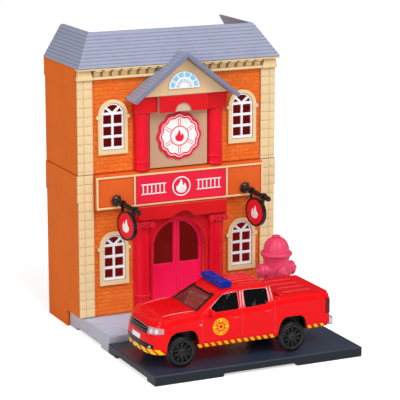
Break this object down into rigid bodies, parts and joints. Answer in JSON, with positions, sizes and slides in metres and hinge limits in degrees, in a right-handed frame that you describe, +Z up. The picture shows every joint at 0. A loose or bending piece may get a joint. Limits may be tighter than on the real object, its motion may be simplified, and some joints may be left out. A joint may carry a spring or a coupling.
{
  "type": "toy fire station diorama",
  "caption": "Two-storey brick toy fire station with a columned portico, hanging round signs, a kerbed sidewalk with a large hydrant, and a red pickup truck on a dark road plate.",
  "frame": {"origin": "centre of the bounding box's bottom face, on the surface that the toy stands on", "axes": "+Z up; the station's front and the truck's near side look along -Y, the truck's nose points to -X"},
  "size_m": [0.1394, 0.1686, 0.189],
  "materials": {
    "orange_plastic": "satin moulded plastic with brick relief",
    "tan_plastic": "satin moulded plastic",
    "brown_tan_plastic": "satin moulded plastic",
    "grey_roof_plastic": "satin moulded plastic in lapped courses",
    "red_plastic": "semi-gloss moulded plastic",
    "pink_red_plastic": "semi-gloss moulded plastic",
    "dark_red_plastic": "satin moulded plastic",
    "white_plastic": "semi-gloss moulded plastic",
    "black_gloss_plastic": "gloss moulded plastic",
    "steel_pin": "plain drawn steel",
    "grey_stone_plastic": "satin moulded plastic",
    "road_plastic": "semi-gloss moulded plastic",
    "hydrant_plastic": "satin moulded plastic",
    "truck_red_paint": "gloss paint on die-cast metal",
    "tinted_glass": "clear tinted plastic glazing",
    "clear_lens": "clear plastic lens",
    "red_lens": "translucent red plastic lens",
    "blue_lens": "translucent blue plastic lens",
    "chrome": "bright plated plastic",
    "tyre_rubber": "matt black tyre with a gloss black rim"
  },
  "bodies": {
    "station": {"sidewalk": "grey_stone_plastic", "road_plate": "road_plastic", "lower_shell": "orange_plastic", "upper_shell": "orange_plastic", "lower_liner": "dark_red_plastic", "upper_liner": "dark_red_plastic", "lower_left_pilaster": "tan_plastic", "lower_right_pilaster": "tan_plastic", "upper_left_pilaster": "tan_plastic", "upper_right_pilaster": "tan_plastic", "lower_left_window_surround": "tan_plastic", "lower_right_window_surround": "tan_plastic", "upper_left_window_surround": "tan_plastic", "upper_right_window_surround": "tan_plastic", "lower_left_window_frame": "white_plastic", "lower_right_window_frame": "white_plastic", "upper_left_window_frame": "white_plastic", "upper_right_window_frame": "white_plastic", "cornice": "tan_plastic", "mansard_roof": "grey_roof_plastic", "gable_roof": "grey_roof_plastic", "pediment": "tan_plastic", "fanlight": "white_plastic", "upper_left_column": "red_plastic", "upper_right_column": "red_plastic", "upper_lintel": "red_plastic", "lintel_core": "tan_plastic", "lintel_face": "red_plastic", "upper_panel": "brown_tan_plastic", "badge": "red_plastic", "belt": "orange_plastic", "belt_strips": "tan_plastic", "sign_board": "red_plastic", "entablature": "red_plastic", "lower_portico": "red_plastic", "left_sign_bracket": "black_gloss_plastic", "right_sign_bracket": "black_gloss_plastic", "hydrant": "hydrant_plastic"},
    "left_door": {"left_door": "pink_red_plastic"},
    "right_door": {"right_door": "pink_red_plastic"},
    "left_sign": {"left_sign_disc": "black_gloss_plastic"},
    "right_sign": {"right_sign_disc": "black_gloss_plastic"},
    "truck": {"truck_body": "truck_red_paint", "truck_glazing": "tinted_glass", "front_grille": "black_gloss_plastic", "headlights": "clear_lens", "tail_lights": "red_lens", "rear_bumper": "chrome", "lightbar": "blue_lens", "bed_cover": "truck_red_paint", "truck_interior": "black_gloss_plastic", "chassis": "black_gloss_plastic"},
    "front_wheels": {"front_axle": "steel_pin", "front_left_wheel": "tyre_rubber", "front_right_wheel": "tyre_rubber"},
    "rear_wheels": {"rear_axle": "steel_pin", "rear_left_wheel": "tyre_rubber", "rear_right_wheel": "tyre_rubber"}
  },
  "joints": [
    {"name": "left_door_hinge", "type": "hinge", "parent": "station", "child": "left_door", "pos_m": [-0.022, 0.03385, 0.03], "axis": [0, 0, 1], "range_deg": [0, 90]},
    {"name": "right_door_hinge", "type": "hinge", "parent": "station", "child": "right_door", "pos_m": [0.0206, 0.03385, 0.03], "axis": [0, 0, -1], "range_deg": [0, 90]},
    {"name": "left_sign_swing", "type": "hinge", "parent": "station", "child": "left_sign", "pos_m": [-0.04515, 0.02465, 0.0855], "axis": [0.2059, -0.9686, -0.1392], "range_deg": [-35, 35]},
    {"name": "right_sign_swing", "type": "hinge", "parent": "station", "child": "right_sign", "pos_m": [0.04375, 0.02465, 0.0855], "axis": [0.2059, -0.9686, -0.1392], "range_deg": [-35, 35]},
    {"name": "truck_roll", "type": "slide", "parent": "station", "child": "truck", "axis": [1, 0, 0], "range_m": [-0.012, 0.03]},
    {"name": "front_wheels_spin", "type": "hinge", "parent": "truck", "child": "front_wheels", "pos_m": [-0.0459, -0.05395, 0.0156], "axis": [0, 1, 0], "continuous": true},
    {"name": "rear_wheels_spin", "type": "hinge", "parent": "truck", "child": "rear_wheels", "pos_m": [0.0263, -0.05395, 0.0156], "axis": [0, 1, 0], "continuous": true}
  ],
  "couplings": [
    {"joint": "front_wheels_spin", "follows": "truck_roll", "rad_per_m": 109.89},
    {"joint": "rear_wheels_spin", "follows": "truck_roll", "rad_per_m": 109.89}
  ]
}
